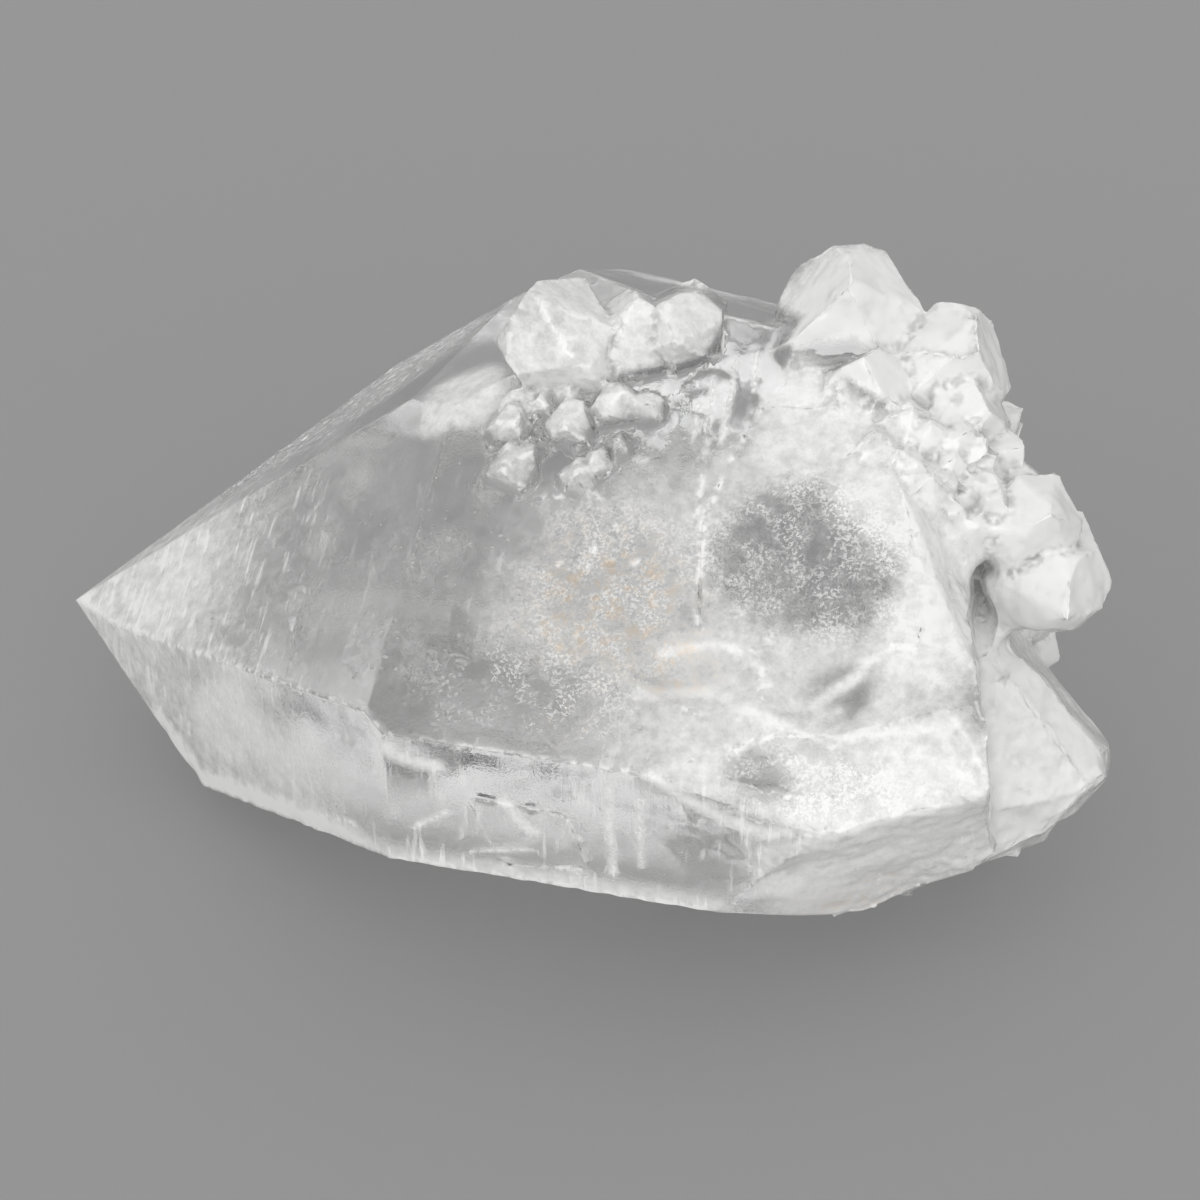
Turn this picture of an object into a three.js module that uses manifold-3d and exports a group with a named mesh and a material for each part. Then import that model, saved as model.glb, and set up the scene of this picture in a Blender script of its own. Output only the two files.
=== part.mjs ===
// A Himalayan quartz point: one clear, tapered crystal lying on its side, with clusters of small
// stubby crystals grown over its top and its broken end.
// Millimetres, +Z up. The long axis runs along X with the tip at the low X end, and the crystal is
// seen from the front, which is the low Y side. While it is built, the tip is at 0, 0, 0. At the end
// it is moved so that the middle of the underside of its box is there instead.
import * as THREE from 'three';
import { ConvexGeometry } from 'three/addons/geometries/ConvexGeometry.js';
import { mergeVertices } from 'three/addons/utils/BufferGeometryUtils.js';
import Module from 'manifold-3d';

const wasm = await Module();
wasm.setup();

// Driving dimensions of the big crystal. A turn is a heading about the long axis: 0 looks to the
// front and 90 looks up. A reach is a distance from the long axis, or from the tip for a leaning face.
const FIRST_TURN = 55;
const TURN_STEP = 60;
const TIP_LEAN = 38.2;
const PRISM_REACH = [16.4, 18.9, 13.4, 8.5, 7.1, 17.6];
const REST_DEPTH = 6.5;
const END_REACH = 42.8;

// Small crystals, measured in their own radii: how deep the root is sunk, and the least distance
// from the middle to the faces of the point.
const ROOT_IN_RADII = 0.9;
const SHOULDER_IN_RADII = 0.55;

// Each crystal of a cluster is turned by this much from the one before it, which spreads them evenly.
const SPREAD_TURN = 137.5;
const CLUSTER_SPLAY = 30;

// How deep the growth layers are sunk, and how finely the hollows are rounded.
const LAYER_ROOT = 0.9;
const SCOOP_DETAIL = 5;

const RAD = Math.PI / 180;
const AXIS = new THREE.Vector3(1, 0, 0);
const PARALLEL = 1e-3;
const SAME_CORNER = 1e-3;
const ON_FACE = 1e-5;

// The same random numbers every time, from one seed.
function randomFrom(seed) {
  let state = seed;
  return (low = 0, high = 1) => {
    state = (state * 1664525 + 1013904223) % 4294967296;
    return low + (high - low) * (state / 4294967296);
  };
}

// A direction with a turn about the long axis and a lean towards the tip, both in degrees.
function heading(turn, lean) {
  const side = Math.cos(lean * RAD);
  return new THREE.Vector3(-Math.sin(lean * RAD), -side * Math.cos(turn * RAD), side * Math.sin(turn * RAD));
}

const face = (turn, lean, reach) => ({ normal: heading(turn, lean), reach });

// The directions of a face: along it towards the root, across it, and out of it.
function directionsOf(turn, lean) {
  const out = heading(turn, lean);
  const across = new THREE.Vector3().crossVectors(out, AXIS).normalize();
  const along = new THREE.Vector3().crossVectors(across, out);
  return { out, along, across };
}

// The hull of the points where three faces meet and that lie behind all the others.
function hullOf(faces) {
  const corners = [];
  const rows = new THREE.Matrix3();
  for (let i = 0; i < faces.length; i += 1) {
    for (let j = i + 1; j < faces.length; j += 1) {
      for (let k = j + 1; k < faces.length; k += 1) {
        const [a, b, c] = [faces[i], faces[j], faces[k]];
        rows.set(...a.normal.toArray(), ...b.normal.toArray(), ...c.normal.toArray());
        if (Math.abs(rows.determinant()) < PARALLEL) continue;
        const corner = new THREE.Vector3(a.reach, b.reach, c.reach).applyMatrix3(rows.invert());
        const inside = faces.every(({ normal, reach }) => normal.dot(corner) < reach + ON_FACE);
        const isNew = corners.every((other) => other.distanceTo(corner) > SAME_CORNER);
        if (inside && isNew) corners.push(corner);
      }
    }
  }
  return new ConvexGeometry(corners);
}

function solidOf(geometry) {
  geometry.deleteAttribute('normal');
  geometry.deleteAttribute('uv');
  const merged = mergeVertices(geometry, ON_FACE);
  return new wasm.Manifold(new wasm.Mesh({
    numProp: 3,
    vertProperties: new Float32Array(merged.attributes.position.array),
    triVerts: new Uint32Array(merged.index.array),
  }));
}

const joined = (solids) => solids.reduce((whole, solid) => whole.add(solid));

// The big crystal: six prism faces along the axis, a point of steep faces that meet at the tip, and
// the broken end, where flat chips replace the root.
function pointCrystal(reaches = PRISM_REACH) {
  const turn = (step) => FIRST_TURN + step * TURN_STEP;
  const prism = reaches.map((reach, step) => face(turn(step), 0, reach));
  const point = [0, 2, 3, 4].map((step) => face(turn(step), TIP_LEAN, 0));
  const ridge = [
    face(turn(0) + 36.6, 39.8, 0),
    face(turn(0) + 30, 24.4, 6.6),
    face(turn(1) + 3.8, 43, 0),
    face(turn(1) + 2, 31, 4.06),
  ];
  const bevelledFront = [face(turn(5), TIP_LEAN, 0.35), face(turn(5) - 4.5, 41.6, 0)];
  const rest = face(-90, 0, REST_DEPTH);
  const end = [
    face(150, -72, END_REACH),
    face(105.6, -50.4, 40.7),
    face(115, -5.5, 21.1),
    face(33.7, -8.5, 23.9),
    face(-34, -25, 28.5),
    face(-68, -31.5, 27.6),
    face(-150, -40, 33),
    face(170, -48, 39),
  ];
  return solidOf(hullOf([...prism, ...point, ...ridge, ...bevelledFront, rest, ...end]));
}

// A stubby six-sided crystal with a low point. Its root is sunk behind the place it grows from.
function smallCrystal({ at, turn, lean, radius, length, spin, seed }) {
  const random = randomFrom(seed);
  const shoulder = length * Math.sin(TIP_LEAN * RAD) + SHOULDER_IN_RADII;
  const faces = [face(0, 90, radius * ROOT_IN_RADII)];
  for (let step = 0; step < 6; step += 1) {
    const side = spin + step * TURN_STEP;
    faces.push(face(side, 0, radius * random(0.8, 1.12)));
    const blunt = step % 2 ? random(0.05, 0.3) : random(0, 0.12);
    faces.push(face(side, -TIP_LEAN, radius * (shoulder + blunt)));
  }
  const { out, along, across } = directionsOf(turn, lean);
  const grown = hullOf(faces).applyMatrix4(new THREE.Matrix4().makeBasis(out, along, across));
  return solidOf(grown.translate(...at));
}

// Many small crystals spread over a round patch, leaning outwards from its middle.
function cluster({ at, turn, lean, spread, count, radius, seed }) {
  const random = randomFrom(seed);
  const { out, along, across } = directionsOf(turn, lean);
  return Array.from({ length: count }, (_, index) => {
    const distance = Math.sqrt((index + 0.5) / count);
    const round = index * SPREAD_TURN * RAD + random(-0.4, 0.4);
    const offset = along.clone().multiplyScalar(Math.cos(round)).addScaledVector(across, Math.sin(round));
    const place = new THREE.Vector3(...at).addScaledVector(offset, distance * spread);
    const tilt = Math.tan(CLUSTER_SPLAY * distance * RAD);
    const way = out.clone().addScaledVector(offset, tilt * random(0.5, 1.3)).normalize();
    return smallCrystal({
      at: place.toArray(),
      turn: Math.atan2(way.z, -way.y) / RAD,
      lean: -Math.asin(way.x) / RAD,
      radius: random(...radius),
      length: random(0.9, 1.7),
      spin: random(0, 60),
      seed: seed * 101 + index,
    });
  });
}

// A flat layer that grew over one prism face: an outline of points, each given as its distance from
// the tip along the face and its distance across it.
function growthLayer({ step, outline, thickness }) {
  const reaches = PRISM_REACH.map((reach, index) => (index === step ? reach + thickness : reach));
  const { out, along, across } = directionsOf(FIRST_TURN + step * TURN_STEP, 0);
  const shape = new THREE.Shape(outline.map((point) => new THREE.Vector2(...point)));
  const layer = new THREE.ExtrudeGeometry(shape, { depth: thickness + LAYER_ROOT, bevelEnabled: false });
  layer.applyMatrix4(new THREE.Matrix4().makeBasis(along, across, out));
  layer.translate(...out.multiplyScalar(PRISM_REACH[step] - LAYER_ROOT).toArray());
  return solidOf(layer).intersect(pointCrystal(reaches));
}

// A shell-shaped hollow left where a flake broke away: radii are out of the face, along and across.
function scoop({ at, radii, turn, lean }) {
  const { out, along, across } = directionsOf(turn, lean);
  const hollow = new THREE.IcosahedronGeometry(1, SCOOP_DETAIL).scale(...radii);
  hollow.applyMatrix4(new THREE.Matrix4().makeBasis(out, along, across));
  return solidOf(hollow.translate(...at));
}

// A broken chunk with flat sides, each given by its turn, its lean and its distance from the middle.
function chunk({ at, sides }) {
  return solidOf(hullOf(sides.map((side) => face(...side))).translate(...at));
}

// The large crystals that overgrow the top, just past the point, and the smaller ones below them.
const topCrystals = [
  { at: [25.6, -2.2, 17.2], turn: 62, lean: 14, radius: 2.8, length: 1.1, spin: 20, seed: 3 },
  { at: [27.9, -1.5, 18], turn: 70, lean: -10, radius: 2, length: 1.1, spin: 5, seed: 8 },
  { at: [29.9, -0.5, 19.1], turn: 20, lean: -12, radius: 2, length: 0.9, spin: 0, seed: 5 },
  { at: [24.6, -4.7, 16.7], turn: 10, lean: 40, radius: 0.8, length: 1.6, spin: 12, seed: 6 },
  { at: [23.5, -5.8, 15.9], turn: 40, lean: -30, radius: 0.9, length: 1.5, spin: 25, seed: 7 },
  { at: [24.5, -7, 14.6], turn: 25, lean: 5, radius: 1.25, length: 1, spin: 40, seed: 9 },
  { at: [26.4, -4.9, 16.2], turn: 20, lean: -5, radius: 1.2, length: 1.2, spin: 33, seed: 10 },
  { at: [27.9, -4.4, 16.7], turn: 60, lean: -25, radius: 1.1, length: 1.2, spin: 12, seed: 11 },
  { at: [29.5, -4.2, 17], turn: 35, lean: -20, radius: 0.9, length: 1.1, spin: 50, seed: 12 },
  { at: [28.6, -5.9, 15.6], turn: 0, lean: 20, radius: 0.65, length: 2.6, spin: 8, seed: 13 },
  { at: [28.6, -7.6, 14.2], turn: 10, lean: 10, radius: 0.5, length: 1.8, spin: 3, seed: 14 },
  { at: [29.5, -7.8, 14], turn: 5, lean: -10, radius: 0.45, length: 1.7, spin: 18, seed: 15 },
];

// The two large crystals on the upper corner of the broken end, and the low ridge of smaller ones
// that runs down from them.
const cornerCrystals = [
  { at: [37, 1.9, 18.9], turn: 52, lean: -6, radius: 4, length: 0.3, spin: 14, seed: 31 },
  { at: [38.6, -1.4, 17.6], turn: 66, lean: -2, radius: 2.1, length: 0.5, spin: 48, seed: 32 },
  { at: [41.5, 1.7, 17.9], turn: 48, lean: -28, radius: 2.9, length: 0.4, spin: 30, seed: 33 },
  { at: [42.4, 0.1, 16.4], turn: 40, lean: -40, radius: 2.1, length: 0.6, spin: 5, seed: 34 },
  { at: [44.2, -0.6, 15], turn: 60, lean: -50, radius: 1.3, length: 0.7, spin: 28, seed: 35 },
  { at: [45.4, -1, 13.9], turn: 50, lean: -45, radius: 1.2, length: 0.8, spin: 44, seed: 36 },
  { at: [37.8, -2.6, 16.8], turn: 60, lean: 5, radius: 1.5, length: 0.4, spin: 22, seed: 37 },
  { at: [39.5, -3.4, 15.9], turn: 58, lean: -12, radius: 1.8, length: 0.4, spin: 8, seed: 38 },
  { at: [40.2, -1.8, 16.2], turn: 62, lean: -20, radius: 2, length: 0.4, spin: 51, seed: 39 },
  { at: [41.9, -4, 14.6], turn: 55, lean: -18, radius: 1.8, length: 0.4, spin: 33, seed: 40 },
  { at: [42.6, -1.5, 15.4], turn: 60, lean: -28, radius: 2, length: 0.4, spin: 17, seed: 41 },
  { at: [43.9, -3.8, 12.9], turn: 50, lean: -24, radius: 1.6, length: 0.5, spin: 40, seed: 42 },
  { at: [43.8, -2.4, 13.9], turn: 55, lean: -32, radius: 1.9, length: 0.4, spin: 2, seed: 43 },
];

// The crystals that stand out from the broken end.
const endCrystals = [
  { at: [46.2, -2, 12.6], turn: 40, lean: -25, radius: 2.2, length: 0.9, spin: 16, seed: 51 },
  { at: [47, -2, 10.4], turn: 5, lean: -25, radius: 2.7, length: 0.9, spin: 40, seed: 53 },
];

const clusters = [
  { at: [26.9, -4.8, 16], turn: 50, lean: 0, spread: 2.8, count: 12, radius: [0.5, 1], seed: 21 },
  { at: [42.2, -2.8, 15.6], turn: 60, lean: -20, spread: 2.8, count: 14, radius: [0.5, 0.9], seed: 44 },
  { at: [41.8, 5.4, 7.6], turn: 160, lean: -70, spread: 5, count: 12, radius: [1.3, 2.2], seed: 55 },
  { at: [39.6, 9.5, 9], turn: 150, lean: -50, spread: 3.5, count: 8, radius: [1, 1.8], seed: 56 },
];

// The broken lump below the end crystals.
const endLump = {
  at: [46.4, -4.4, 1.5],
  sides: [
    [127, -42, 4.1],
    [178, -79, 4.5],
    [-70, -55, 3.5],
    [-61, -30, 3.7],
    [30, -30, 3.4],
    [-2, -35, 3.6],
    [75, -50, 3.9],
    [-149, 15, 5],
    [0, 90, 6],
    [60, 30, 6],
    [-90, 0, 4.5],
  ],
};

const layers = [
  {
    step: 0,
    outline: [[22.9, 1.2], [24.4, -0.9], [26.8, -1.8], [30.2, -1.6], [33, 0.6], [32.4, 6.5], [23.2, 6]],
    thickness: 0.2,
  },
  {
    step: 0,
    outline: [[33.2, 1.5], [34.6, -5.6], [44.2, -3], [41.2, 5.2], [40.8, 8.3], [34.4, 7.2]],
    thickness: 0.35,
  },
  { step: 2, outline: [[20, 20], [34, 20], [37, -3], [24, -5]], thickness: 0.35 },
  { step: 2, outline: [[27, 2], [39, 1], [36, -20], [30, -20]], thickness: 0.7 },
  { step: 3, outline: [[14, 12], [30, 12], [38, -2], [22, -12], [15, -3]], thickness: 0.3 },
  { step: 4, outline: [[16, 5], [31, 6], [36, -12], [20, -12]], thickness: 0.25 },
  { step: 5, outline: [[25.5, 6], [30, 6], [31, 3.2], [27, 2.6]], thickness: 0.15 },
];

const hollows = [
  { at: [40.6, -15.4, 13.1], radii: [4, 6, 3.8], turn: 55, lean: 0 },
  { at: [40, -19, 9.4], radii: [3.4, 4.5, 2.2], turn: 34, lean: -8 },
  { at: [34.8, -15.9, 12.8], radii: [4, 5.2, 3], turn: 55, lean: 0 },
];

const grown = joined([
  pointCrystal(),
  ...layers.map(growthLayer),
  ...[...topCrystals, ...cornerCrystals, ...endCrystals].map(smallCrystal),
  ...clusters.flatMap(cluster),
  chunk(endLump),
]);
const body = hollows.map(scoop).reduce((whole, hollow) => whole.subtract(hollow), grown);

const { vertProperties, triVerts } = body.getMesh();
const geometry = new THREE.BufferGeometry();
geometry.setAttribute('position', new THREE.BufferAttribute(vertProperties, 3));
geometry.setIndex(new THREE.BufferAttribute(triVerts, 1));

geometry.computeBoundingBox();
const { min, max } = geometry.boundingBox;
geometry.translate(-(min.x + max.x) / 2, -(min.y + max.y) / 2, -min.z);

const clearQuartz = new THREE.MeshStandardMaterial({ color: 0xe9ebea, roughness: 0.12, metalness: 0 });
const crystal = new THREE.Mesh(geometry, clearQuartz);
crystal.name = 'quartz_crystal';

const group = new THREE.Group();
group.add(crystal);

export default group;
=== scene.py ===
import math
import random

import bmesh
import bpy
import numpy as np
from mathutils import Matrix, Vector, kdtree, noise
from mathutils.bvhtree import BVHTree


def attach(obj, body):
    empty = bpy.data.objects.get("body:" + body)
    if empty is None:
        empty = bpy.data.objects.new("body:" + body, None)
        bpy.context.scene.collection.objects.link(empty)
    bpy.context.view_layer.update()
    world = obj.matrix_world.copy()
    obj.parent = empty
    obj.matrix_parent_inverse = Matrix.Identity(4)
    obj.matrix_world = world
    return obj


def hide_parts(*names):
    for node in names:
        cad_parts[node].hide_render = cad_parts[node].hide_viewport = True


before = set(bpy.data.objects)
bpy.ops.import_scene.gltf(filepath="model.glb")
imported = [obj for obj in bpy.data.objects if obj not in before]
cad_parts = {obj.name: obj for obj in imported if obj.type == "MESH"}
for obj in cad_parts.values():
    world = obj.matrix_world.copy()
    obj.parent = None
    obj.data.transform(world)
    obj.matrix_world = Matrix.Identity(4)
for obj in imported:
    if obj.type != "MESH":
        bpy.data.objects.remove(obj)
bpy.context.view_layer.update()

MM = 0.001


# The camera looks down at the crystal from its front, a little from the right, as the photograph does.
PHOTO_SIDE = 1200
VIEW_TURN = math.radians(17)
VIEW_RISE = math.radians(30)
VIEW_DISTANCE = 0.25
VIEW_WIDTH = 0.055
VIEW_TARGET = Vector((0.476, 2.21, 10.8)) * MM
SENSOR = 36
back = Vector((
    math.sin(VIEW_TURN) * math.cos(VIEW_RISE),
    -math.cos(VIEW_TURN) * math.cos(VIEW_RISE),
    math.sin(VIEW_RISE),
))
camera = bpy.data.objects.new("camera", bpy.data.cameras.new("camera"))
bpy.context.scene.collection.objects.link(camera)
camera.location = VIEW_TARGET + back * VIEW_DISTANCE
camera.rotation_mode = "QUATERNION"
camera.rotation_quaternion = (-back).to_track_quat("-Z", "Y")
camera.data.sensor_width = SENSOR
camera.data.lens = SENSOR * VIEW_DISTANCE / VIEW_WIDTH
camera.data.clip_start = 0.01
camera.data.clip_end = 10
bpy.context.scene.camera = camera


def sight_line(x, y):
    """The direction from the camera through this pixel of the photograph's frame."""
    across, down = ((value / PHOTO_SIDE - 0.5) * VIEW_WIDTH for value in (x, y))
    right = Vector((math.cos(VIEW_TURN), math.sin(VIEW_TURN), 0))
    up = back.cross(right)
    return (right * across - up * down - back * VIEW_DISTANCE).normalized()


# The crystal itself: one clear quartz point, with stubby white side crystals grown over its top and its
# broken end. It is a natural piece with no holder. Its form is the solid's, cut finer here so that its
# worn edges, growth lines and etch pits can be worked into the surface.
FRONT_GRAIN = 0.36 * MM
BACK_GRAIN = 0.62 * MM
BACK_FACING = 0.25
DOWN_FACING = -0.6
REFINE_PASSES = 40
SAME_POINT = 0.002 * MM
SAME_PLANE = math.radians(0.6)
SOFT_CREASE = math.radians(24)


def grain_at(face):
    """How long an edge may be there: short where the crystal is looked at, longer at the back and below."""
    in_view = face.normal.y < BACK_FACING and face.normal.z > DOWN_FACING
    return FRONT_GRAIN if in_view else BACK_GRAIN


def refine(bm):
    """Halves long edges, the longest first and one to a face each time. New corners lie in the old faces."""
    for _ in range(REFINE_PASSES):
        lengths = {edge: edge.calc_length() for edge in bm.edges}
        long_edges = [edge for edge in bm.edges if lengths[edge] > min(map(grain_at, edge.link_faces))]
        cut_faces = set()
        cut_edges = []
        for edge in sorted(long_edges, key=lambda edge: -lengths[edge]):
            if cut_faces.isdisjoint(edge.link_faces):
                cut_faces.update(edge.link_faces)
                cut_edges.append(edge)
        if not cut_edges:
            return
        bmesh.ops.subdivide_edges(bm, edges=cut_edges, cuts=1, use_single_edge=True)
        bm.normal_update()


def mesh_from(bm, name):
    """A new object with this mesh, at the origin."""
    mesh = bpy.data.meshes.new(name)
    bm.to_mesh(mesh)
    bm.free()
    piece = bpy.data.objects.new(name, mesh)
    bpy.context.scene.collection.objects.link(piece)
    return piece


skin = bmesh.new()
skin.from_mesh(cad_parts["quartz_crystal"].data)
bmesh.ops.remove_doubles(skin, verts=skin.verts, dist=SAME_POINT)
bmesh.ops.dissolve_limit(skin, angle_limit=SAME_PLANE, verts=skin.verts, edges=skin.edges)
bmesh.ops.triangulate(skin, faces=skin.faces, quad_method="BEAUTY", ngon_method="BEAUTY")
refine(skin)

# Where the crystal is milky, pitted, streaked and stained, in millimetres from the object's origin. Each
# patch is a middle, its half sizes, how soft its border is, and the strength that it brings the place to.
# Later patches lie over earlier ones.
BORDER_WANDER = 0.7
WANDER_PER_MM = 0.45
MILKY_PATCHES = [
    ((-14, -4, 9), (13, 16, 12), 0.3, 0.16),
    ((2.0, 3.0, 0.0), (24, 12, 2.2), 0.5, 0.55),
    ((-20.0, 0.0, 9.0), (6.5, 7, 7), 0.7, 0.76),
    ((-12.0, 5.5, 17.5), (10, 3.2, 7), 0.4, 0.45),
    ((-25.5, 2.0, 6.5), (7.0, 6, 5), 0.6, 0.78),
    ((-14.5, -9.5, 5.5), (9, 6, 6), 0.5, 0.6),
    ((-4.0, -9.0, 17.0), (7, 7, 5), 0.3, 0.07),
    ((6.0, -9.0, 18.5), (6.5, 7.5, 4), 0.35, 0.42),
    ((14.0, -8.0, 20.0), (9, 9, 5), 0.3, 0.5),
    ((14.5, -13.5, 14.0), (9, 4.5, 3.2), 0.4, 0.6),
    ((12.8, -7.4, 20.3), (4.2, 3.4, 3.2), 0.25, 0.2),
    ((11.3, -2.0, 24.0), (2.6, 2.6, 2.4), 0.25, 0.72),
    ((-4.6, -2.3, 22.9), (2.4, 2.2, 1.8), 0.3, 0.75),
    ((7.3, 1.6, 26.2), (1.3, 1.8, 1.5), 0.3, 0.02),
    ((6.0, -3.7, 22.8), (2.0, 1.6, 1.6), 0.3, 0.15),
    ((5.0, -15.9, 9.5), (12, 2, 3.4), 0.3, 0.0),
    ((22.0, -5.0, 9.5), (8.0, 8.0, 7.5), 0.25, 0.92),
    ((18.5, -12.5, 8.5), (6.8, 5.4, 7.0), 0.35, 0.86),
    ((19.0, -6.5, 17.0), (2.8, 5.5, 5.5), 0.4, 0.88),
    ((20.4, -2.8, 19.4), (2.2, 2.2, 2.6), 0.4, 0.85),
    ((17.0, -3.5, 21.5), (3.8, 3.2, 3.0), 0.3, 0.85),
    ((12.5, -2.5, 23.6), (3.0, 2.2, 1.6), 0.3, 0.7),
    ((15.4, -11.4, 16.4), (1.2, 1.0, 1.2), 0.5, 0.1),
    ((12.4, -14.9, 13.6), (1.3, 1.0, 1.2), 0.5, 0.1),
]
WHITE_CRYSTAL_PATCHES = [
    ((3.5, -1.0, 25.0), (8.5, 7.5, 6.5), 0.2, 0.74),
    ((0.5, -5.0, 21.0), (4.2, 3.2, 2.8), 0.4, 0.5),
    ((14.5, 1.0, 24.0), (7.8, 7.0, 8.0), 0.15, 0.95),
    ((22.5, -5.0, 9.5), (6.5, 9.0, 7.5), 0.3, 0.9),
    ((18.0, -12.0, 7.0), (8.0, 6.5, 6.5), 0.3, 0.93),
    ((21.4, -2.0, 18.0), (5.0, 6.5, 6.0), 0.2, 0.97),
    ((17.0, 9.0, 14.0), (8.0, 9.0, 9.0), 0.3, 0.8),
]
PITTED_PATCHES = [
    ((12.8, -7.4, 20.3), (4.6, 4.0, 3.6), 0.3, 1.0),
    ((4.5, -9.5, 18.0), (4.0, 5.0, 4.0), 0.5, 0.7),
    ((1.5, -13.8, 15.0), (4.5, 2.2, 2.0), 0.5, 1.0),
    ((14.8, -14.4, 13.6), (4.2, 2.0, 1.6), 0.5, 0.9),
]
STREAKED_PATCHES = [
    ((-16.5, -3.0, 10.0), (9, 12, 10), 0.3, 0.9),
    ((-13.5, -9.5, 5.5), (11, 6, 6), 0.4, 0.35),
    ((-4.0, -9.0, 17.0), (7, 7, 5), 0.4, 0.35),
    ((5.0, -15.9, 9.5), (13, 2, 4.5), 0.3, 1.0),
    ((22.0, -5.0, 9.5), (8.0, 8.0, 7.5), 0.3, 0.6),
]
# The stepped strip along the top ridge: white lines painted on its steps are painted highlights for glints.
STEPPED_PATCHES = [((-12.0, 5.5, 17.5), (11, 3.4, 7.5), 0.3, 1.0)]
STAINED_PATCHES = [
    ((4.6, -10.0, 18.0), (3.4, 3.6, 3.2), 0.6, 1.0),
    ((7.9, -11.6, 16.5), (1.9, 1.2, 1.3), 0.6, 0.8),
    ((3.6, -15.0, 14.6), (1.8, 1.2, 1.3), 0.6, 0.8),
    ((16.5, -12.0, 6.2), (2.4, 1.6, 1.4), 0.6, 0.5),
]
BROKEN_PATCHES = [
    ((21.0, -6.0, 8.0), (8.0, 9.0, 8.0), 0.25, 1.0),
    ((15.5, -14.5, 12.5), (6.5, 4.0, 4.5), 0.3, 0.8),
    ((19.6, -7.5, 17.0), (2.6, 4.5, 5.0), 0.4, 0.6),
    ((5.0, 12.0, 4.0), (20, 8, 7), 0.3, 0.6),
]
LUMPY_PATCHES = [
    ((14.5, 1.5, 24.5), (8.0, 5.5, 7.0), 0.15, 1.0),
    ((21.4, -2.0, 18.0), (4.5, 5.0, 5.4), 0.2, 1.0),
    ((3.5, -1.5, 25.2), (6.5, 5.0, 3.8), 0.15, 0.6),
]

# Bright ridges between the shell-shaped breaks, painted white, and painted highlights: thin white lines that
# stand for glints on the clear face. Each has a half width in millimetres and runs along pixels of the
# photograph's frame.
RIDGE_AND_GLINT_LINES = [
    (1.2, [(640, 690), (705, 694), (744, 704), (774, 721), (805, 733), (835, 735), (866, 727), (943, 731)]),
    (0.6, [(812, 708), (835, 691), (855, 677), (866, 662), (893, 648)]),
    (0.6, [(660, 655), (705, 648), (724, 647), (744, 654), (759, 670), (770, 685)]),
    (0.6, [(652, 777), (686, 803), (721, 823), (759, 838), (790, 842)]),
    # Painted highlights: thin white lines for glints on the clear face.
    (0.22, [(736, 362), (729, 400), (722, 445)]),
    (0.18, [(716, 372), (712, 400), (706, 428)]),
    (0.2, [(757, 352), (753, 388)]),
    (0.18, [(697, 398), (693, 452)]),
    (0.4, [(904, 482), (916, 513), (914, 540), (927, 566), (943, 589)]),
    (0.5, [(954, 719), (981, 765), (1019, 807), (1038, 827)]),
    (0.3, [(275, 808), (315, 814), (355, 823)]),
    (0.25, [(470, 852), (530, 850)]),
    (0.25, [(415, 828), (450, 812)]),
    (0.7, [(384, 748), (404, 758), (440, 766)]),
    (0.5, [(505, 800), (520, 820), (535, 832)]),
    (0.45, [(610, 790), (612, 870)]),
    (0.3, [(640, 800), (642, 868)]),
    (0.4, [(900, 860), (940, 872), (985, 868)]),
]
LINE_POINT_STEP = 4
LINE_WANDER = 0.25
RIDGE_AND_GLINT_WHITENESS = 0.86

# The faces of the big crystal. Each has a turn about the long axis, a lean towards the tip, and a distance
# from the tip or the axis. What stands over them by more than a growth layer is a side crystal.
TIP_PLACE = (-25.504, 2.055, 6.5)
PRISM_FACES = [(55, 0, 16.4), (115, 0, 18.9), (175, 0, 13.4), (235, 0, 8.5), (295, 0, 7.1), (355, 0, 17.6)]
POINT_FACES = [(turn, 38.2, 0) for turn in (55, 175, 235, 295)] + [(350.5, 41.6, 0), (91.6, 39.8, 0)]
END_FACES = [(150, -72, 42.8), (105.6, -50.4, 40.7), (115, -5.5, 21.1), (33.7, -8.5, 23.9), (-34, -25, 28.5)]
ROOT_HEIGHT = (0.45, 1.0)

# The growth layers fade in and out over their face, and their rims are softened.
LAYER_HEIGHT = (0.02, 0.75)
FACING = 0.85
RIM_FACING = -0.2
FLAT_ON_FACE = 0.985
LAYER_FADE_PER_MM = 0.33
LAYER_CONTRAST = 1.6
LAYER_SHARE = 0.15
MOST_KEPT = 0.22
LAYER_SLOPE = 0.5
LAYER_SOFTENING = 4

# Sharp edges are worn, and the lowest of them carry a broader white band. Edges of the broken end and of the
# lumps are rounded.
SOFTENING = 0.5
SHARP_EDGE = math.radians(45)
HOLLOW_CREASE = math.radians(32)
CREVICE_WIDTH = 0.42
EDGE_STEP = 0.15
WORN_WIDTH = 0.4
LOW_FACING = -0.3
LOW_RIM_WIDTH = 1.5
LOW_RIM_TOP = 8
ROUNDED_OVER = 0.5
ROUNDING_PASSES = 1
BREAK_ROUNDING_OVER = 0.02
BREAK_ROUNDING_WIDTH = 1.6
BREAK_ROUNDING_PASSES = 12

# Each kind of relief: its depth in millimetres, its waves per millimetre, and the seed of its noise.
WEAR = (0.08, 1.5, 4)
PITS = (0.07, 2.6, 5)
WAVES = (0.03, 0.5, 6)
LUMPS = (0.2, 0.8, 7)
DIMPLES = (0.09, 2.0, 11)
STEPS = (0.05, (0.5, 2.6, 2.6), 12)
STREAKS = (0.012, (2.4, 0.15, 0.15), 8)
BREAKS = (0.6, (0.3, 0.42, 0.42), 9)
RIPPLES = (0.18, (0.9, 1.3, 1.3), 10)


def smooth_step(value, low, high):
    """0 up to the low value, 1 from the high value on, and a smooth rise between them."""
    share = np.clip((value - low) / (high - low), 0, 1)
    return share * share * (3 - 2 * share)


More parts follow.
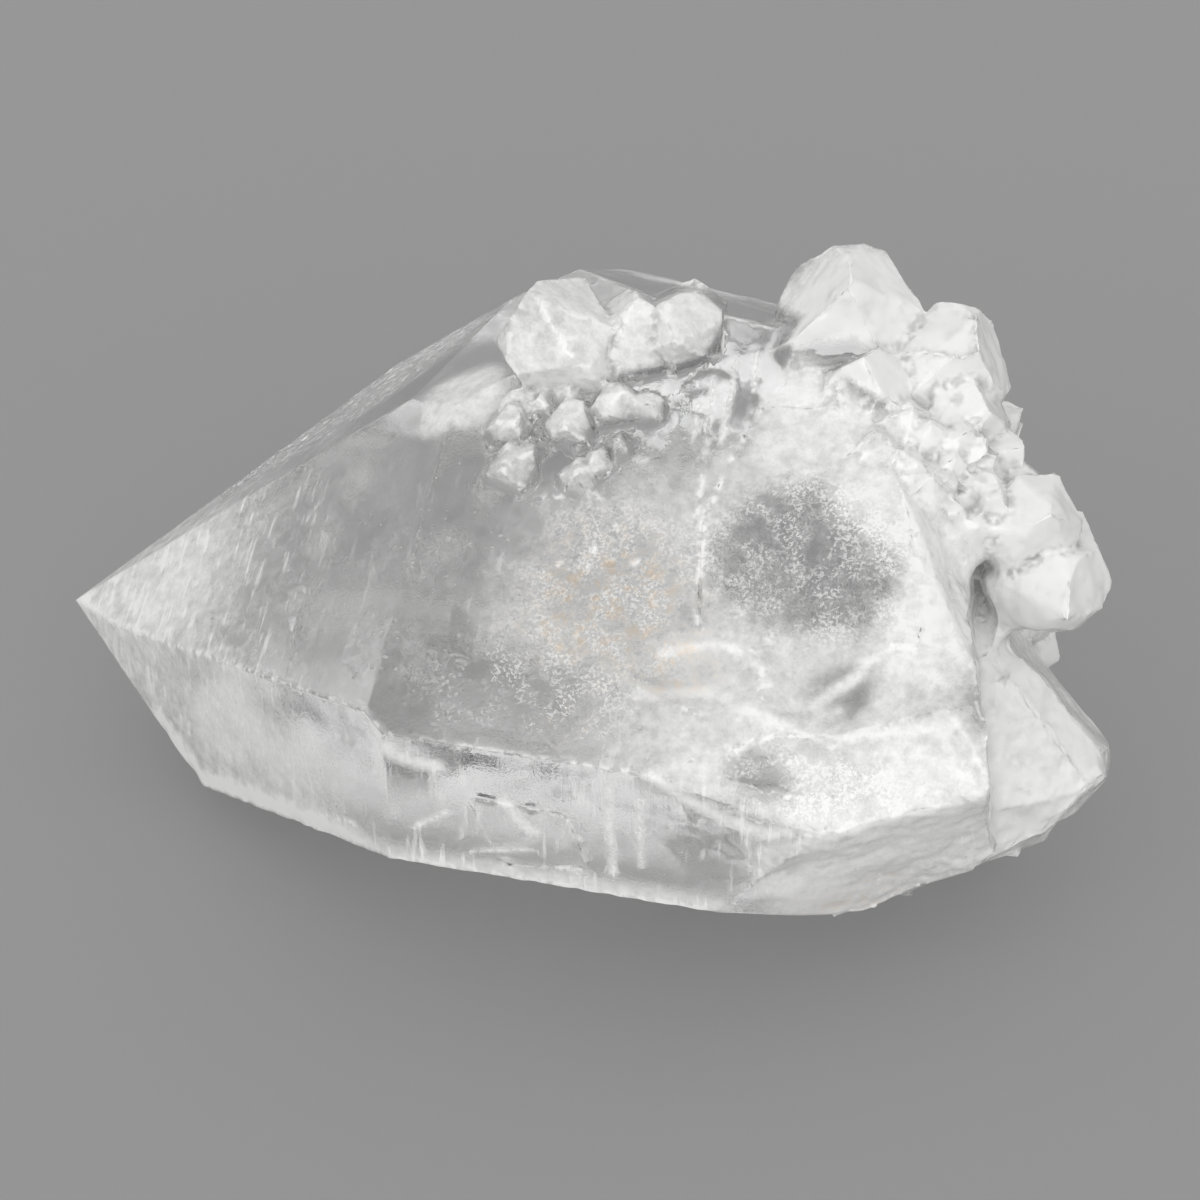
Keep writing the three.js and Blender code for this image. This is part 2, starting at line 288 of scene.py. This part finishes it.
def patches_at(points, patches):
    """How strong the patches are at each point, the later ones painted over the earlier ones."""
    strength = np.zeros(len(points))
    for middle, half_size, softness, full in patches:
        away = np.linalg.norm((points - middle) / half_size, axis=1)
        cover = smooth_step(-away, -1 - softness, -1 + softness)
        strength += cover * (full - strength)
    return strength


def noise_at(points, per_mm, seed):
    """Smooth noise from -1 to 1 at each point. Its size may differ along the three axes."""
    shift = np.array((seed * 7.3, seed * 3.1, seed * 5.7))
    return np.array([noise.noise(point) for point in points * np.array(per_mm) + shift])


def places_of(bm):
    """Where the corners of this mesh are, in millimetres."""
    return np.array([vert.co[:] for vert in bm.verts]) / MM


def soften(verts, passes):
    """Draws these corners of the skin towards the middle of their neighbours."""
    for _ in range(passes):
        bmesh.ops.smooth_vert(
            skin, verts=verts, factor=SOFTENING, use_axis_x=True, use_axis_y=True, use_axis_z=True,
        )


def edge_points(edges):
    """Points along these edges, in millimetres and close together."""
    points = []
    for edge in edges:
        start, end = (vert.co / MM for vert in edge.verts)
        steps = max(1, math.ceil((end - start).length / EDGE_STEP))
        points += [start.lerp(end, step / steps) for step in range(steps + 1)]
    return points


def points_under(surface, line):
    """Points on the surface, in millimetres, that lie under a line of pixels."""
    points = []
    for start, end in zip(line, line[1:]):
        steps = math.ceil(math.dist(start, end) / LINE_POINT_STEP)
        for step in range(steps + 1):
            pixel = Vector(start).lerp(Vector(end), step / steps)
            points.append(surface.ray_cast(camera.location, sight_line(*pixel))[0] / MM)
    return points


def closeness(points, line_points, width):
    """1 on these lines, falling to 0 at this width from them."""
    tree = kdtree.KDTree(len(line_points))
    for index, point in enumerate(line_points):
        tree.insert(point, index)
    tree.balance()
    away = np.array([tree.find(point)[2] for point in points])
    return 1 - smooth_step(away, 0, width)


def heading(turn, lean):
    """The direction with this turn about the long axis and this lean towards the tip, in degrees."""
    turn, lean = math.radians(turn), math.radians(lean)
    return Vector((-math.sin(lean), -math.cos(lean) * math.cos(turn), math.cos(lean) * math.sin(turn)))


def height_over_crystal(points):
    """How far each point stands out of the big crystal's own faces, in millimetres."""
    from_tip = points - np.array(TIP_PLACE)
    faces = PRISM_FACES + POINT_FACES + END_FACES
    return np.max([from_tip @ np.array(heading(turn, lean)) - reach for turn, lean, reach in faces], axis=0)


def layer_height(place, normal, facing):
    """How far this place stands over the prism face that it looks along, in millimetres, and the way out."""
    for turn, lean, reach in PRISM_FACES:
        out = heading(turn, lean)
        height = out.dot(place / MM - Vector(TIP_PLACE)) - reach
        if LAYER_HEIGHT[0] < height < LAYER_HEIGHT[1] and normal.dot(out) > facing:
            return height, out
    return 0, Vector()


def on_layer_rim(edge):
    """Whether one of the faces beside this edge is the flat top of a growth layer."""
    middle = (edge.verts[0].co + edge.verts[1].co) / 2
    return any(layer_height(middle, face.normal, FLAT_ON_FACE)[0] > 0 for face in edge.link_faces)


def rolling(depth, per_mm, seed):
    """Relief that rises and falls slowly."""
    return depth * (0.5 + 0.5 * noise_at(places, per_mm, seed))


def scattered(depth, per_mm, seed, share, contrast=1):
    """Relief in separate spots that is flat between them. The share sets how much of it is spots."""
    return depth * np.clip(noise_at(places, per_mm, seed) * contrast + share, 0, 1)


def folded(depth, per_mm, seed):
    """Relief with rounded backs and narrow valleys."""
    return depth * np.abs(noise_at(places, per_mm, seed))


layer_rims = {edge for edge in skin.edges if edge.calc_face_angle() > SHARP_EDGE and on_layer_rim(edge)}
near_rims = closeness(places_of(skin), edge_points(layer_rims), LAYER_SLOPE)
for vert, share in zip(skin.verts, near_rims):
    height, out = layer_height(vert.co, vert.normal, RIM_FACING if share > 0 else FACING)
    fade = noise.noise(vert.co / MM * LAYER_FADE_PER_MM) * LAYER_CONTRAST + LAYER_SHARE
    kept = min(max(fade, 0), MOST_KEPT)
    vert.co -= out * height * (1 - kept) * MM
soften([vert for vert, share in zip(skin.verts, near_rims) if share > 0], LAYER_SOFTENING)
skin.normal_update()

places = places_of(skin)
wander = np.stack([noise_at(places, WANDER_PER_MM, seed) for seed in (1, 2, 3)], axis=1) * BORDER_WANDER
wandering = places + wander
side_crystal = smooth_step(height_over_crystal(places), *ROOT_HEIGHT)
milk_and_glints = patches_at(wandering, MILKY_PATCHES)
milk_and_glints += side_crystal * (patches_at(wandering, WHITE_CRYSTAL_PATCHES) - milk_and_glints)
pitted = patches_at(wandering, PITTED_PATCHES)
streaked = patches_at(wandering, STREAKED_PATCHES)
stained = patches_at(wandering, STAINED_PATCHES)
stepped = patches_at(wandering, STEPPED_PATCHES)
lumpy = patches_at(wandering, LUMPY_PATCHES)
broken = patches_at(wandering, BROKEN_PATCHES)

skin.verts.ensure_lookup_table()
sharp_edges = [
    edge for edge in skin.edges
    if edge.is_convex and edge.calc_face_angle() > SHARP_EDGE and edge not in layer_rims
]
low_edges = [
    edge for edge in sharp_edges
    if edge.verts[0].co.z < LOW_RIM_TOP * MM and min(face.normal.z for face in edge.link_faces) < LOW_FACING
]
hollow_edges = [
    edge for edge in skin.edges
    if not edge.is_convex and edge.calc_face_angle() > HOLLOW_CREASE and edge not in layer_rims
]
# Painted shade: side crystals get less white frost, so look clearer and darker, along the creases between
# them.
crevice_shade = closeness(places, edge_points(hollow_edges), CREVICE_WIDTH) * side_crystal
worn = closeness(places, edge_points(sharp_edges), WORN_WIDTH)
near_sharp = closeness(places, edge_points(sharp_edges), BREAK_ROUNDING_WIDTH)
low_rim = closeness(places, edge_points(low_edges), LOW_RIM_WIDTH)
surface = BVHTree.FromBMesh(skin)
# The ridges and the painted highlights of glints are added to the milky whiteness.
for half_width, line in RIDGE_AND_GLINT_LINES:
    ridge_and_glint = closeness(places + wander * LINE_WANDER, points_under(surface, line), half_width)
    milk_and_glints = np.maximum(milk_and_glints, ridge_and_glint * RIDGE_AND_GLINT_WHITENESS)

soften([vert for vert, share in zip(skin.verts, lumpy) if share > ROUNDED_OVER], ROUNDING_PASSES)
rounded = near_sharp * broken
round_verts = [vert for vert, share in zip(skin.verts, rounded) if share > BREAK_ROUNDING_OVER]
soften(round_verts, BREAK_ROUNDING_PASSES)
skin.normal_update()
depth = worn * scattered(*WEAR, share=0.25)
depth += pitted * scattered(*PITS, share=0.2)
depth += rolling(*WAVES)
depth += lumpy * rolling(*LUMPS)
depth += np.maximum(lumpy, broken) * rolling(*DIMPLES)
depth += stepped * scattered(*STEPS, share=0, contrast=3)
depth += streaked * rolling(*STREAKS)
depth += broken * rolling(*BREAKS)
depth += broken * folded(*RIPPLES)
for vert, inwards in zip(skin.verts, depth):
    vert.co -= vert.normal * float(inwards) * MM

crystal = mesh_from(skin, "quartz_skin")
crystal.data.shade_smooth()
crystal.data.set_sharp_from_angle(angle=SOFT_CREASE)

# What the material reads from the mesh's corners.
features = {
    "milk_and_glints": milk_and_glints, "pitted": pitted, "streaked": streaked, "stained": stained, "worn": worn,
    "low_rim": low_rim, "stepped": stepped, "crevice_shade": crevice_shade,
}
for name, values in features.items():
    attribute = crystal.data.attributes.new(name, "FLOAT", "POINT")
    attribute.data.foreach_set("value", values.astype(np.float32))


class Signal:
    """A socket of a shader. Signals add, subtract and multiply as numbers do."""

    def __init__(self, tree, socket):
        self.tree = tree
        self.socket = socket

    def node(self, kind, settings=None, output=0, **sockets):
        """A new node. A socket is given by its name, or by its number as _0, and set or linked."""
        made = self.tree.nodes.new(kind)
        for name, value in (settings or {}).items():
            setattr(made, name, value)
        for name, value in sockets.items():
            key = int(name[1:]) if name[0] == "_" else name.replace("_", " ")
            if isinstance(value, Signal):
                self.tree.links.new(value.socket, made.inputs[key])
            else:
                made.inputs[key].default_value = value
        return Signal(self.tree, made.outputs[output])

    def math(self, operation, first, second=0.0):
        return self.node("ShaderNodeMath", {"operation": operation}, _0=first, _1=second)

    def __add__(self, other):
        return self.math("ADD", self, other)

    def __sub__(self, other):
        return self.math("SUBTRACT", self, other)

    def __mul__(self, other):
        return self.math("MULTIPLY", self, other)

    __radd__ = __add__
    __rmul__ = __mul__

    def __rsub__(self, other):
        return self.math("SUBTRACT", other, self)

    def clamp(self, low, high):
        return self.math("MINIMUM", self.math("MAXIMUM", self, low), high)

    def step(self, low, high):
        """0 up to the low value, 1 from the high value on, and a smooth rise between them."""
        settings = {"interpolation_type": "SMOOTHSTEP"}
        return self.node("ShaderNodeMapRange", settings, Value=self, From_Min=low, From_Max=high)


def new_material(name):
    """An empty node material, and a signal that its nodes are made from."""
    material = bpy.data.materials.new(name)
    material.use_nodes = True
    material.node_tree.nodes.clear()
    return material, Signal(material.node_tree, None)


def finish_material(signal, shader):
    """Gives the material this shader as its surface."""
    output = signal.tree.nodes.new("ShaderNodeOutputMaterial")
    signal.tree.links.new(shader.socket, output.inputs["Surface"])


# The crystal's material: clear glass of quartz's index, and white frost where the crystal is milky,
# granular, streaked or worn. White lines on it are painted highlights for glints, and the creases between
# side crystals are made clearer as painted shade. Each value says how white that makes the surface, from 0
# for clear to 1.
QUARTZ_INDEX = 1.544
CLEAR_ROUGHNESS = 0.01
MILKY_ROUGHNESS = 0.3
FROST_ROUGHNESS = 0.16
FROST_WHITE = (0.88, 0.88, 0.872, 1)
TAN_STAIN = (0.68, 0.55, 0.41, 1)
MILK_WHITE = 0.75
CLOUD_WHITE = 0.5
WISP_WHITE = 2.5
WISP_LIMIT = 1.25
GRANULAR_WHITE = 0.45
STREAK_WHITE = 0.5
LEDGE_GLINT_WHITE = 0.6
RIM_WHITE = 0.55
LOW_RIM_WHITE = 0.6
CREVICE_SHADE_CLEARING = 0.5
MOST_WHITE = 0.93
BUMP_HEIGHT = 0.04 * MM
BUMP_STRENGTH = 0.5

quartz, ink = new_material("clear_quartz")
place = ink.node("ShaderNodeTexCoord", output="Object")
in_mm = ink.node("ShaderNodeVectorMath", {"operation": "SCALE"}, _0=place, Scale=1 / MM)


def painted(name):
    """What the mesh's corners say of this feature."""
    return ink.node("ShaderNodeAttribute", {"attribute_name": name}, output="Fac")


def drawn_out(x, y, z, detail, roughness):
    """Noise with its own waves per millimetre along each axis."""
    stretched = ink.node("ShaderNodeVectorMath", {"operation": "MULTIPLY"}, _0=in_mm, _1=(x, y, z))
    return ink.node("ShaderNodeTexNoise", Vector=stretched, Scale=1.0, Detail=detail, Roughness=roughness)


cloud = ink.node("ShaderNodeTexNoise", Vector=in_mm, Scale=0.8, Detail=1.5)
wisp = ink.node("ShaderNodeTexNoise", Vector=in_mm, Scale=1.7, Detail=3.0, Roughness=0.7)
speck = ink.node("ShaderNodeTexNoise", Vector=in_mm, Scale=6.0, Detail=2.0, Roughness=0.75)
chip = ink.node("ShaderNodeTexNoise", Vector=in_mm, Scale=2.2, Detail=1.0)
streak = drawn_out(3.4, 0.4, 0.4, detail=2.5, roughness=0.6)
ledge = drawn_out(0.7, 3.2, 3.2, detail=2.5, roughness=0.65)
grain = speck.step(0.46, 0.6) * cloud.step(0.3, 0.62)
# This attribute holds the milky patches and also the painted highlights for glints.
milk_and_glints = painted("milk_and_glints")
pits = painted("pitted")
streaks = painted("streaked")
rims = painted("worn")
low_rims = painted("low_rim")
ledges = painted("stepped")
crevice_shades = painted("crevice_shade")
milk_and_glint_whiteness = milk_and_glints * (MILK_WHITE + CLOUD_WHITE * cloud)
wispiness = milk_and_glints * (WISP_LIMIT - milk_and_glints) * WISP_WHITE * (wisp - 0.5)
granular = pits * (grain - 0.3) * GRANULAR_WHITE
lined = streaks * (streak.step(0.5, 0.72) * cloud.step(0.4, 0.56) * STREAK_WHITE - 0.06)
# Painted highlights: white lines along the steps stand for glints on their edges.
ledge_glints = ledges * (ledge.step(0.52, 0.66) * LEDGE_GLINT_WHITE - 0.08)
edges = rims * rims * chip.step(0.42, 0.6) * RIM_WHITE + low_rims * (LOW_RIM_WHITE + 0.5 * chip)
# Painted shade in the creases between side crystals: the frost is cleared there so that they read darker.
hollow_shade = crevice_shades * chip.step(0.3, 0.6) * CREVICE_SHADE_CLEARING
whiteness = (milk_and_glint_whiteness + wispiness + granular + lined + ledge_glints + edges - hollow_shade).clamp(0.0, MOST_WHITE)
relief = speck * (0.35 + pits) + streak * streaks * 0.5
bump = ink.node("ShaderNodeBump", Strength=BUMP_STRENGTH, Distance=BUMP_HEIGHT, Height=relief)
clear = ink.node(
    "ShaderNodeBsdfPrincipled", Base_Color=(1, 1, 1, 1), Roughness=milk_and_glints * MILKY_ROUGHNESS + CLEAR_ROUGHNESS,
    IOR=QUARTZ_INDEX, Transmission_Weight=1.0, Normal=bump,
)
stain = painted("stained") * wisp.step(0.42, 0.7)
tint = ink.node("ShaderNodeMix", {"data_type": "RGBA"}, output=2, _0=stain, _6=FROST_WHITE, _7=TAN_STAIN)
frost = ink.node(
    "ShaderNodeBsdfPrincipled", Base_Color=tint, Roughness=FROST_ROUGHNESS, IOR=QUARTZ_INDEX, Normal=bump,
)
finish_material(ink, ink.node("ShaderNodeMixShader", _0=whiteness, _1=clear, _2=frost))
crystal.data.materials.append(quartz)
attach(crystal, "root")
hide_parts("quartz_crystal")


# Inclusions: tiny grains and flakes that the crystal closed over as it grew, a little below the face.
# They are loose specks of quartz and air, white where they catch the light.
GRAIN_COUNT = 130
GRAIN_SEED = 5
GRAIN_RADIUS = (0.04, 0.13)
GRAIN_DEPTH = (0.2, 1.6)
GRAIN_WIDTH = (0.5, 1)
GRAIN_THICKNESS = (0.4, 0.9)
GRAIN_AREAS = [((300, 500), (450, 660)), ((330, 520), (520, 680)), ((420, 620), (620, 720))]
BIG_GRAINS = [(447, 537), (470, 543), (378, 633), (360, 655), (352, 674), (430, 545), (520, 590)]
BIG_GRAIN_RADIUS = 0.22
BIG_GRAIN_DEPTH = 0.4

chance = random.Random(GRAIN_SEED)
skin = bmesh.new()
skin.from_mesh(crystal.data)
surface = BVHTree.FromBMesh(skin)
skin.free()
grains = bmesh.new()


def add_grain(pixel, radius, depth):
    """A small faceted grain, flattened and turned at random, below the surface under this pixel."""
    place, normal = surface.ray_cast(camera.location, sight_line(*pixel))[:2]
    middle = place - normal * depth * MM
    size = Vector((1, chance.uniform(*GRAIN_WIDTH), chance.uniform(*GRAIN_THICKNESS))) * radius * MM
    turn = Vector([chance.uniform(-1, 1) for _ in range(3)]).to_track_quat("Z", "Y").to_matrix().to_4x4()
    place_matrix = Matrix.Translation(middle) @ turn @ Matrix.Diagonal(size).to_4x4()
    bmesh.ops.create_icosphere(grains, subdivisions=1, radius=1, matrix=place_matrix)


for pixel in BIG_GRAINS:
    add_grain(pixel, BIG_GRAIN_RADIUS, BIG_GRAIN_DEPTH)
for _ in range(GRAIN_COUNT):
    columns, rows = chance.choice(GRAIN_AREAS)
    pixel = (chance.uniform(*columns), chance.uniform(*rows))
    add_grain(pixel, chance.uniform(*GRAIN_RADIUS), chance.uniform(*GRAIN_DEPTH))
inclusions = mesh_from(grains, "inclusion_grains")
pale, ink = new_material("inclusion_white")
place = ink.node("ShaderNodeTexCoord", output="Object")
shade = ink.node("ShaderNodeTexNoise", Vector=place, Scale=2500.0) * 0.15 + 0.82
white = ink.node("ShaderNodeCombineColor", Red=shade, Green=shade, Blue=shade)
finish_material(ink, ink.node("ShaderNodeBsdfPrincipled", Base_Color=white, Roughness=0.35))
inclusions.data.materials.append(pale)
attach(inclusions, "root")


# Veils: thin healed cracks inside the crystal, each a wavy film of tiny bubbles that shows as a wisp.
# Each is given by its middle and half sizes in millimetres, the way that it faces, and a seed.
VEILS = [
    ((-7.0, -6.0, 12.5), (4.5, 2.6), (0.5, -0.7, 0.4), 1),
    ((-3.0, -7.5, 11.0), (3.6, 2.2), (-0.6, -0.6, 0.5), 2),
    ((2.0, -8.0, 12.0), (4.8, 3.0), (0.2, -0.8, 0.5), 3),
    ((7.0, -7.0, 13.5), (4.4, 3.2), (-0.3, -0.7, 0.6), 4),
    ((11.0, -8.0, 11.0), (5.0, 3.4), (0.4, -0.8, 0.3), 5),
    ((-13.0, -3.0, 8.0), (4.0, 2.4), (0.3, -0.6, 0.7), 6),
]
VEIL_COLUMNS = 24
VEIL_ROWS = 16
VEIL_WAVE = 0.9
VEIL_WAVES_PER_MM = 0.28
VEIL_SEED_STEP = 5
VEIL_THICKNESS = 0.02 * MM
VEIL_WHITE = (0.95, 0.95, 0.95, 1)

films = bmesh.new()
for middle, half_size, facing, seed in VEILS:
    turn = Vector(facing).to_track_quat("Z", "Y").to_matrix().to_4x4()
    spread = Matrix.Diagonal((half_size[0] * MM, half_size[1] * MM, 1, 1))
    place_matrix = Matrix.Translation(Vector(middle) * MM) @ turn @ spread
    film = bmesh.ops.create_grid(
        films, x_segments=VEIL_COLUMNS, y_segments=VEIL_ROWS, size=1, matrix=place_matrix,
    )
    for vert in film["verts"]:
        bend = noise.noise(vert.co / MM * VEIL_WAVES_PER_MM + Vector((seed * VEIL_SEED_STEP, 0, 0)))
        vert.co += Vector(facing).normalized() * bend * VEIL_WAVE * MM
bmesh.ops.solidify(films, geom=films.faces[:], thickness=VEIL_THICKNESS)
veils = mesh_from(films, "healed_veils")
veils.data.shade_smooth()
mist, ink = new_material("veil_of_bubbles")
place = ink.node("ShaderNodeTexCoord", output="Object")
broad = ink.node("ShaderNodeTexNoise", Vector=place, Scale=260.0, Detail=1.0)
fine = ink.node("ShaderNodeTexNoise", Vector=place, Scale=2600.0, Detail=0.0)
density = broad.step(0.5, 0.72) * (0.15 + fine.step(0.4, 0.65)) * 0.5
finish_material(ink, ink.node(
    "ShaderNodeBsdfPrincipled", Base_Color=VEIL_WHITE, Roughness=0.5, Alpha=density,
))
veils.data.materials.append(mist)
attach(veils, "root")


# The floor: a plain matte grey surface that the crystal lies on. It glows a little, a painted light that
# keeps the shadow under the crystal soft.
FLOOR_HALF = 1.5
FLOOR_GREY = 0.19
FLOOR_GLOW = 0.115
FLOOR_GAP = 0.02 * MM

ground = bmesh.new()
bmesh.ops.create_grid(ground, x_segments=1, y_segments=1, size=FLOOR_HALF)
bmesh.ops.translate(ground, verts=ground.verts, vec=(0, 0, -FLOOR_GAP))
floor = mesh_from(ground, "floor")
matte, ink = new_material("pale_grey_floor")
finish_material(ink, ink.node(
    "ShaderNodeBsdfPrincipled", Base_Color=(FLOOR_GREY,) * 3 + (1,), Roughness=0.9,
    Emission_Color=(FLOOR_GLOW,) * 3 + (1,), Emission_Strength=1.0,
))
floor.data.materials.append(matte)


# The light: a soft white room all round, brightest in front of the crystal and dimmest behind it.
ROOM_LIGHT = 0.7
KEY_LIGHT = 2.3
KEY_FROM = (0.15, -0.98, 0.02)
KEY_SPREAD = (0.3, 1.0)
MOST_BOUNCES = 6
MOST_GLOSSY_BOUNCES = 3
MOST_DIFFUSE_BOUNCES = 2

scene = bpy.context.scene
world = bpy.data.worlds.new("soft_room")
world.use_nodes = True
scene.world = world
sky = Signal(world.node_tree, None)
direction = sky.node("ShaderNodeTexCoord", output="Generated")
towards_key = sky.node(
    "ShaderNodeVectorMath", {"operation": "DOT_PRODUCT"}, output="Value", _0=direction, _1=KEY_FROM,
)
strength = towards_key.step(*KEY_SPREAD) * (KEY_LIGHT - ROOM_LIGHT) + ROOM_LIGHT
world.node_tree.links.new(strength.socket, world.node_tree.nodes["Background"].inputs["Strength"])
world.node_tree.nodes["Background"].inputs["Color"].default_value = (1, 1, 1, 1)
scene.view_settings.view_transform = "Standard"
scene.cycles.use_denoising = True
scene.cycles.max_bounces = MOST_BOUNCES
scene.cycles.transmission_bounces = MOST_BOUNCES
scene.cycles.transparent_max_bounces = MOST_BOUNCES
scene.cycles.glossy_bounces = MOST_GLOSSY_BOUNCES
scene.cycles.diffuse_bounces = MOST_DIFFUSE_BOUNCES
